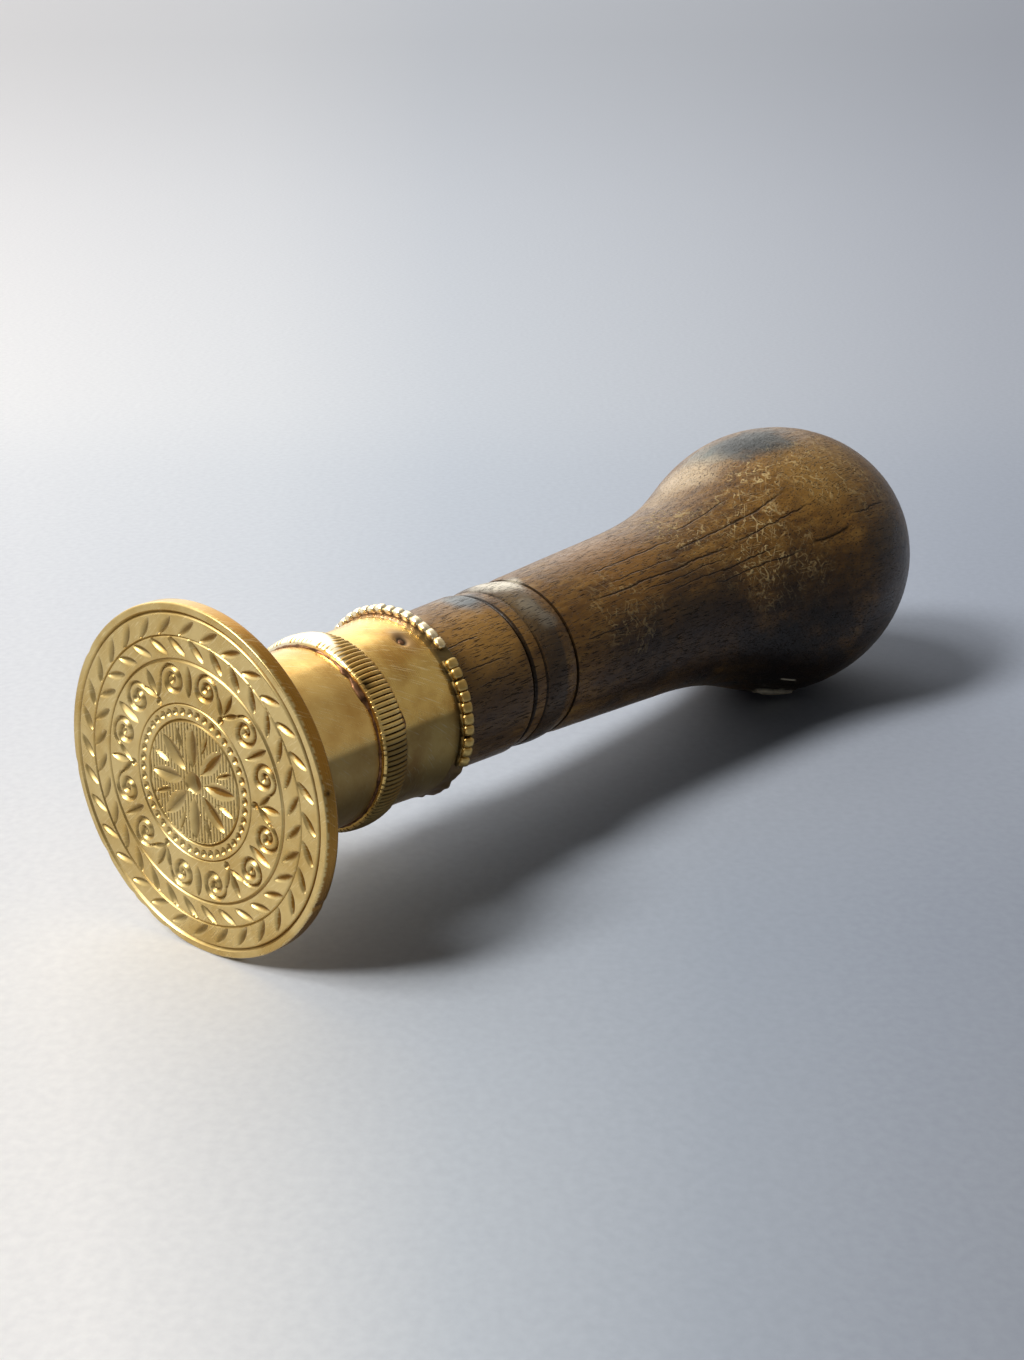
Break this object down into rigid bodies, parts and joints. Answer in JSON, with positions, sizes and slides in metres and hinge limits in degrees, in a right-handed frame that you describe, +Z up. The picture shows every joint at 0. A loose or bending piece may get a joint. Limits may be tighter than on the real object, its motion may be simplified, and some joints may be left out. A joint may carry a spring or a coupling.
{
  "type": "desk seal",
  "caption": "Hand seal for a desk: an engraved gilt disc on a reeded and beaded collar, with a turned wooden handle that ends in a round bulb for the palm.",
  "frame": {"origin": "on the floor, under the middle of the lying seal", "axes": "+X along the seal from the engraved disc to the bulb, +Z up, the seal lying on its side as in the picture"},
  "size_m": [0.1304, 0.038, 0.038],
  "materials": {
    "gilt_brass": "gilded, satin, worn bright on the edges",
    "worn_gilt_brass": "gilded, rubbed thin, fine scratches round the sleeve",
    "solder": "copper-pink solder, uneven and dull",
    "stained_wood": "turned, stained and rubbed with wax, scratched by use",
    "iron": "forged, dull",
    "cement": "set resin cement, dull black-brown"
  },
  "bodies": {
    "root": {"seal_die": "gilt_brass", "die_tang": "iron", "die_seam": "solder", "cement_fill": "cement", "front_sleeve": "gilt_brass", "ring_seam_front": "solder", "reeded_ring": "gilt_brass", "ring_seam_rear": "solder", "rear_sleeve": "worn_gilt_brass", "rim_lip": "worn_gilt_brass", "bead_run_upper": "gilt_brass", "bead_run_lower": "gilt_brass", "fixing_pins": "solder", "handle": "stained_wood"}
  },
  "joints": []
}
